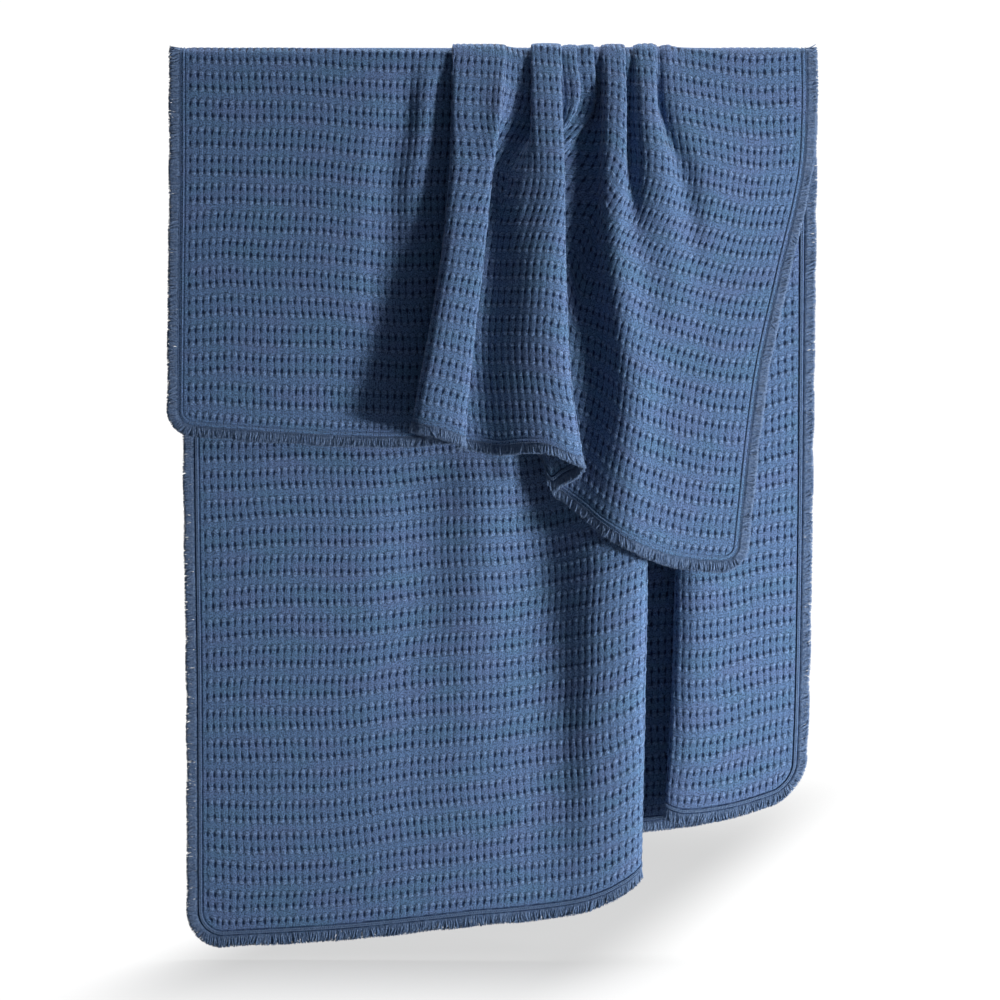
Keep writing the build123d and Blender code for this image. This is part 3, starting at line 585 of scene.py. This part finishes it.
def looper_band(name):
    """Zigzag of looper thread on the inner face, between the two needle rows."""
    steps = 8
    near, far = ZIGZAG
    u0, v0 = edge_path(near, LOOP / steps)
    u1, v1 = edge_path(far, LOOP / steps)
    count = min(len(u0), len(u1))
    t = np.linspace(0, 1, count, endpoint=False)
    take0, take1 = (t * len(u0)).astype(int), (t * len(u1)).astype(int)
    phase = np.arange(count) / steps * 2 * math.pi
    lines = []
    for shift in (0, math.pi):
        share = 0.5 + 0.5 * np.sin(phase + shift)
        u = u0[take0] * (1 - share) + u1[take1] * share
        v = v0[take0] * (1 - share) + v1[take1] * share
        rise = CLOTH / 2 + 0.45 + 0.25 * np.cos(phase * 2 + shift)
        lines.append(drape(u, v) - normals(u, v) * rise[:, None])
    whole = []
    for line in lines:
        parts = len(line) // steps
        take = (np.arange(parts)[:, None] * steps + np.arange(steps + 1)[None, :]) % len(line)
        whole.append(line[take])
    return tubes(name, np.concatenate(whole), LOOPER_RADIUS, 5)


def fringe(name, start, end, seed):
    """Cut yarn ends along one edge, from start to end on the square sheet's inset line."""
    rng = np.random.default_rng(seed)
    (u0, v0), (u1, v1) = start, end
    length = math.hypot(u1 - u0, v1 - v0)
    count = int(length / FRINGE_STEP) * FRINGE_LAYERS
    t = np.clip((np.arange(count) + rng.uniform(-0.45, 0.45, count)) / count, 0, 1)
    along = np.array([u1 - u0, v1 - v0]) / length
    out = np.array([along[1], -along[0]])
    s = np.linspace(0, 1, 5)[None, :]
    clump = np.sin(t * length / 17.0 + seed) + 0.6 * np.sin(t * length / 7.3 + 2.1 * seed)
    share = rng.uniform(0.92, 1.08, count) + 0.04 * np.sin(t * length / 13.0) - 0.03 * clump
    reach = FRINGE * share[:, None]
    lean = 2.4 * clump + rng.normal(0, 2.6, count)
    lean += FRINGE * (np.exp((t - 1) * length / FRINGE) - np.exp(-t * length / FRINGE))
    curl = rng.normal(0, 1.6, count)[:, None]
    lift = rng.normal(0, 1.5, count)[:, None]
    base = rng.uniform(-CLOTH / 2, CLOTH / 2, count)[:, None] * 0.7
    shift = lean[:, None] * s**1.2 + curl * np.sin(s * math.pi)
    a = (u0 + (u1 - u0) * t)[:, None] + out[0] * (reach * s - ROOT) + along[0] * shift
    b = (v0 + (v1 - v0) * t)[:, None] + out[1] * (reach * s - ROOT) + along[1] * shift
    a, b = np.clip(a, 0, SHEET_WIDTH), np.clip(b, 0, SHEET_LENGTH)
    u, v = rounded(a, b)
    lines = drape(u, v) + normals(u, v) * (base + lift * s**1.5)[..., None]
    radii = np.array([0.6, 0.72, 0.7, 0.6, 0.3])[None, :] * rng.uniform(0.8, 1.15, count)[:, None]
    return tubes(name, lines, radii, 4)


class Graph:
    """Small helper that builds one procedural material's node tree."""

    def __init__(self, name):
        self.material = bpy.data.materials.new(name)
        self.material.use_nodes = True
        self.tree = self.material.node_tree
        self.shader = self.tree.nodes["Principled BSDF"]

    def add(self, kind, **settings):
        node = self.tree.nodes.new(kind)
        for key, value in settings.items():
            setattr(node, key, value)
        return node

    def set(self, socket, value):
        if isinstance(value, bpy.types.NodeSocket):
            self.tree.links.new(value, socket)
        elif isinstance(value, tuple) and len(value) == 3 and socket.type == "RGBA":
            socket.default_value = (*value, 1)
        else:
            socket.default_value = value

    def math(self, operation, *values):
        node = self.add("ShaderNodeMath", operation=operation)
        for socket, value in zip(node.inputs, values):
            self.set(socket, value)
        return node.outputs[0]

    def vector(self, operation, *values):
        node = self.add("ShaderNodeVectorMath", operation=operation)
        for socket, value in zip(node.inputs, values):
            self.set(socket, value)
        return node.outputs[0]

    def noise(self, place, scale, detail=2.0, roughness=0.5, colour=False):
        node = self.add("ShaderNodeTexNoise")
        settings = {"Scale": scale, "Detail": detail, "Roughness": roughness, "Vector": place}
        for name, value in settings.items():
            self.set(node.inputs[name], value)
        return node.outputs["Color" if colour else "Fac"]

    def span(self, value, low, high, to_low=0.0, to_high=1.0):
        node = self.add("ShaderNodeMapRange", interpolation_type="SMOOTHSTEP")
        for socket, number in zip(node.inputs, (value, low, high, to_low, to_high)):
            self.set(socket, number)
        return node.outputs[0]

    def mix(self, factor, first, second, blend="MIX"):
        node = self.add("ShaderNodeMix", data_type="RGBA", blend_type=blend)
        for k, value in ((0, factor), (6, first), (7, second)):
            self.set(node.inputs[k], value)
        return node.outputs[2]

    def sheen(self, roughness, specular, weight, spread):
        for name, value in (
            ("Roughness", roughness),
            ("Specular IOR Level", specular),
            ("Sheen Weight", weight),
            ("Sheen Roughness", spread),
        ):
            self.shader.inputs[name].default_value = value

    def bump(self, height, distance, strength=1.0):
        node = self.add("ShaderNodeBump")
        for name, value in (("Strength", strength), ("Distance", distance), ("Height", height)):
            self.set(node.inputs[name], value)
        self.tree.links.new(node.outputs[0], self.shader.inputs["Normal"])

    def colour(self, value):
        self.tree.links.new(value, self.shader.inputs["Base Color"])


BLUE = (0.095, 0.168, 0.315)
BLUE_VIOLET = (0.104, 0.166, 0.318)
BLUE_TEAL = (0.090, 0.172, 0.306)
# Painted highlight: the pale colour laid on the floats
BLUE_PAINTED_HIGHLIGHT = (0.165, 0.250, 0.420)
# Painted shade: the colour put into the slits and the seam's grooves for the shade in them
BLUE_PAINTED_SHADE = (0.012, 0.030, 0.082)
YARN_DARK, YARN_PALE = (0.062, 0.115, 0.225), (0.205, 0.298, 0.470)
THREAD_DARK, THREAD_PALE = (0.090, 0.160, 0.300), (0.185, 0.275, 0.445)


def woven_cells(graph, place):
    """Distance from the groove between two ribs, and from the middle of the pair of slit rows, in mm."""
    wobble = graph.vector("SUBTRACT", graph.noise(place, 0.09, 1.0, 0.5, True), (0.5, 0.5, 0.5))
    place = graph.vector("ADD", place, graph.vector("MULTIPLY", wobble, (2.2, 3.2, 0.0)))
    parts = graph.add("ShaderNodeSeparateXYZ")
    graph.set(parts.inputs[0], place)
    groove = graph.math("PINGPONG", parts.outputs[0], RIB / 2)
    along = graph.math("FLOORED_MODULO", parts.outputs[1], REPEAT)
    pair = graph.math("ABSOLUTE", graph.math("SUBTRACT", along, sum(SLIT_ROWS) / 2))
    return groove, pair


def oval(graph, across, half_width, along, half_length):
    """Distance from the middle of an oval, one at its edge."""
    x = graph.math("DIVIDE", across, half_width)
    y = graph.math("DIVIDE", along, half_length)
    return graph.math("SQRT", graph.math("ADD", graph.math("MULTIPLY", x, x), graph.math("MULTIPLY", y, y)))


def cloth_material():
    """Washed blue cotton: mottled ribs, floats made pale by a painted highlight, and slits, furrows and
    seam grooves made dark by painted shade, set out on the flat sheet.
    """
    graph = Graph("woven_cotton")
    place = graph.vector("SCALE", graph.add("ShaderNodeUVMap", uv_map="weave").outputs[0])
    place.node.inputs["Scale"].default_value = 1 / MM
    slit_size = graph.add("ShaderNodeAttribute", attribute_name="slit").outputs["Fac"]
    lump_size = graph.add("ShaderNodeAttribute", attribute_name="lump").outputs["Fac"]
    groove, pair = woven_cells(graph, place)
    slit_gap = (SLIT_ROWS[1] - SLIT_ROWS[0]) / 2
    lump_gap = (FLOAT_ROWS[1] - FLOAT_ROWS[0]) / 2
    slit_along = graph.math("ABSOLUTE", graph.math("SUBTRACT", pair, slit_gap))
    lump_along = graph.math("ABSOLUTE", graph.math("SUBTRACT", pair, lump_gap))
    slit = graph.span(oval(graph, groove, 2.1, slit_along, 4.0), 0.45, 1.1, 1.0, 0.0)
    slit = graph.math("MULTIPLY", slit, slit_size)
    crest = graph.math("SUBTRACT", RIB / 2, groove)
    lump_oval = oval(graph, crest, 4.1, lump_along, 3.9)
    lump = graph.math("MULTIPLY", graph.span(lump_oval, 0.35, 1.0, 1.0, 0.0), lump_size)
    rim = graph.math("MULTIPLY", graph.span(lump_oval, 1.0, 1.3, 1.0, 0.0), graph.span(lump_oval, 0.8, 1.0))
    furrow = graph.span(groove, 0.0, 1.1, 1.0, 0.0)
    painted_groove_shade = graph.add("ShaderNodeAttribute", attribute_name="groove").outputs["Fac"]

    yarns = graph.noise(graph.vector("MULTIPLY", place, (0.75, 0.16, 1.0)), 1.0, 2.0, 0.6)
    speckle = graph.noise(place, 0.5, 3.0, 0.8)
    broad = graph.noise(graph.vector("MULTIPLY", place, (0.012, 0.026, 1.0)), 1.0, 2.0, 0.5)

    colour = graph.mix(graph.span(broad, 0.35, 0.5), BLUE_TEAL, BLUE)
    colour = graph.mix(graph.span(broad, 0.5, 0.65), colour, BLUE_VIOLET)
    # Painted highlight: each float is lightened towards pale blue
    colour = graph.mix(graph.math("MULTIPLY", lump, 0.55), colour, BLUE_PAINTED_HIGHLIGHT)
    shade = graph.span(speckle, 0.33, 0.67, 0.38, 1.62)
    shade = graph.math("ADD", shade, graph.span(yarns, 0.3, 0.7, -0.2, 0.2))
    # Painted shade: a dark ring round each float, and the furrows between the ribs darkened, most between
    # the two slit rows
    shade = graph.math("SUBTRACT", shade, graph.math("MULTIPLY", rim, 0.32))
    furrow_shade = graph.span(pair, 5.0, 11.0, 0.42, 0.1)
    shade = graph.math("SUBTRACT", shade, graph.math("MULTIPLY", furrow, furrow_shade))
    tone = graph.add("ShaderNodeCombineColor")
    for socket in tone.inputs:
        graph.set(socket, shade)
    colour = graph.mix(1.0, colour, tone.outputs[0], "MULTIPLY")
    # Painted shade: each slit is coloured near black-blue for the shade inside its hollow
    colour = graph.mix(slit, colour, BLUE_PAINTED_SHADE)
    # Painted shade in the seam's grooves, uneven along them
    uneven = graph.noise(place, 0.11, 1.0, 0.5)
    painted_groove_shade = graph.math("MULTIPLY", painted_groove_shade, graph.span(uneven, 0.35, 0.6, 0.5, 0.92))
    colour = graph.mix(painted_groove_shade, colour, BLUE_PAINTED_SHADE)
    graph.colour(colour)
    graph.sheen(0.92, 0.15, 0.12, 0.5)
    height = graph.math("ADD", graph.math("MULTIPLY", speckle, 1.0), graph.math("MULTIPLY", yarns, 0.35))
    height = graph.math("ADD", height, graph.math("MULTIPLY", lump, 0.7))
    height = graph.math("SUBTRACT", height, graph.math("MULTIPLY", slit, 1.1))
    graph.bump(height, 0.7 * MM)
    return graph.material


def yarn_material(name, dark, pale, scale):
    """Brushed yarn or thread: soft patches of two tones under a fine fibre."""
    graph = Graph(name)
    place = graph.add("ShaderNodeTexCoord").outputs["Object"]
    patch = graph.noise(place, scale, 3.0, 0.6)
    fibre = graph.noise(place, 1800.0, 2.0, 0.6)
    colour = graph.mix(graph.span(patch, 0.3, 0.7), dark, pale)
    colour = graph.mix(graph.span(fibre, 0.3, 0.7, 0.0, 0.6), colour, dark)
    graph.colour(colour)
    graph.sheen(0.9, 0.2, 0.2, 0.5)
    graph.bump(fibre, 0.3 * MM, 0.6)
    return graph.material


# Studio: metres and watts
FLOOR_CLEAR = 0.016  # gap between the hem and the floor
FLOOR_RADIUS = 2.6
FLOOR_SHOWS = 0.75
# darkest share of the shadow painted on the floor
FLOOR_SHADOW = 0.58
FLOOR_GLOW = 0.95
KEY_SIDE, KEY_FRONT, KEY_SIZE = 1.95, -1.1, 0.4
WORLD_LIGHT = (0.033, 0.048, 0.07, 1)
WORLD_SEEN = (1.05, 1.05, 1.05, 1)
CAMERA_DISTANCE = 3.0
CAMERA_SIDE = 0.008
CAMERA_BELOW_TOP = 0.599
VIEW_WIDTH = 1.323
SENSOR = 36.0


def make_floor():
    """Pale disc that fades out towards its rim, with a painted soft shadow of the throw on it."""
    centre = (0, 0, CAD_BOX[0].z - FLOOR_CLEAR)
    bpy.ops.mesh.primitive_circle_add(vertices=96, radius=FLOOR_RADIUS, fill_type="NGON", location=centre)
    floor = bpy.context.object
    floor.name = "studio_floor"
    graph = Graph("studio_floor")
    graph.shader.inputs["Roughness"].default_value = 0.9
    seen = graph.add("ShaderNodeLightPath").outputs["Is Camera Ray"]
    graph.set(graph.shader.inputs["Base Color"], graph.span(seen, 0.0, 1.0, 0.5, 0.12))
    place = graph.add("ShaderNodeTexCoord").outputs["Object"]
    away = graph.add("ShaderNodeVectorMath", operation="LENGTH")
    graph.set(away.inputs[0], place)
    parts = graph.add("ShaderNodeSeparateXYZ")
    graph.set(parts.inputs[0], place)
    # Painted shadow: the floor's glow is dimmed in a soft patch under and behind the throw
    middle = graph.math("MULTIPLY_ADD", parts.outputs[1], 0.3, -0.12)
    beside = graph.math("ABSOLUTE", graph.math("SUBTRACT", parts.outputs[0], middle))
    behind = graph.span(parts.outputs[1], -0.5, 0.1, 0.0, FLOOR_SHADOW)
    shadow = graph.math("MULTIPLY", graph.span(beside, 0.20, 0.40, 1.0, 0.0), behind)
    glow = graph.math("MULTIPLY", graph.math("SUBTRACT", 1.0, shadow), FLOOR_GLOW)
    clear = graph.span(away.outputs["Value"], 0.9, 2.4, FLOOR_SHOWS, 0.0)
    graph.set(graph.shader.inputs["Emission Color"], (1.0, 1.0, 1.0))
    graph.set(graph.shader.inputs["Emission Strength"], graph.math("MULTIPLY", glow, seen))
    graph.set(graph.shader.inputs["Alpha"], clear)
    floor.data.materials.append(graph.material)


def area_light(name, place, aim, size, power):
    """Round soft light at a place, turned towards the aim."""
    data = bpy.data.lights.new(name, "AREA")
    data.shape = "DISK"
    data.size = size
    data.energy = power
    light = bpy.data.objects.new(name, data)
    light.location = place
    light.rotation_mode = "QUATERNION"
    light.rotation_quaternion = (Vector(aim) - Vector(place)).to_track_quat("-Z", "Y")
    bpy.context.scene.collection.objects.link(light)


def make_lights():
    """Key lights from the right and in front, one from above behind the rail, and a dim sky."""
    low, high = CAD_BOX
    middle = (low + high) / 2
    for name, rise, power in (("key_low", -0.42, 67), ("key_high", 0.60, 11)):
        area_light(name, (KEY_SIDE, KEY_FRONT, middle.z + rise), middle, KEY_SIZE, power)
    area_light("overhead", (0.2, 0.42, high.z + 1.6), (0.1, 0.1, low.z), 1.3, 62)
    world = bpy.data.worlds.new("studio")
    bpy.context.scene.world = world
    world.use_nodes = True
    tree = world.node_tree
    back = tree.nodes["Background"]
    seen = tree.nodes.new("ShaderNodeLightPath").outputs["Is Camera Ray"]
    colour = tree.nodes.new("ShaderNodeMix")
    colour.data_type = "RGBA"
    tree.links.new(seen, colour.inputs[0])
    colour.inputs[6].default_value = WORLD_LIGHT
    colour.inputs[7].default_value = WORLD_SEEN
    tree.links.new(colour.outputs[2], back.inputs["Color"])


def make_camera():
    """Level camera straight in front of the rail."""
    high = CAD_BOX[1]
    data = bpy.data.cameras.new("camera")
    camera = bpy.data.objects.new("camera", data)
    bpy.context.scene.collection.objects.link(camera)
    data.sensor_width = SENSOR
    data.lens = SENSOR * CAMERA_DISTANCE / VIEW_WIDTH
    camera.location = (CAMERA_SIDE, -CAMERA_DISTANCE, high.z - CAMERA_BELOW_TOP)
    camera.rotation_euler = (math.pi / 2, 0, 0)
    bpy.context.scene.camera = camera


def dress(piece, material, node):
    """Give a piece its material, hang it under the root body, and hide the CAD node that it stands for."""
    piece.data.materials.append(material)
    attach(piece, "root")
    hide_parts(node)


def main():
    make_camera()
    make_floor()
    make_lights()
    bpy.context.scene.view_settings.view_transform = "Standard"
    woven = cloth_material()
    yarn = yarn_material("fringe_yarn", YARN_DARK, YARN_PALE, 420.0)
    thread = yarn_material("seam_thread", THREAD_DARK, THREAD_PALE, 500.0)

    cloth = make_cloth()
    dress(cloth, woven, "cloth_panel")
    outer, inner = NEEDLES
    trim = [needle_row("needle_row_outer", outer), needle_row("needle_row_inner", inner)]
    trim.append(looper_band("looper_zigzag"))
    for row, node in zip(trim, ("needle_thread_outer", "needle_thread_inner", "looper_thread")):
        dress(row, thread, node)

    left, right = FRINGE, SHEET_WIDTH - FRINGE
    near, far = FRINGE, SHEET_LENGTH - FRINGE
    edges = (
        ("front_hem", (left, near), (right, near)),
        ("right_side", (right, near), (right, far)),
        ("back_hem", (right, far), (left, far)),
        ("left_side", (left, far), (left, near)),
    )
    for seed, (name, start, end) in enumerate(edges):
        yarns = fringe(f"yarn_ends_{name}", start, end, seed + 11)
        dress(yarns, yarn, f"fringe_{name}")
        trim.append(yarns)


main()
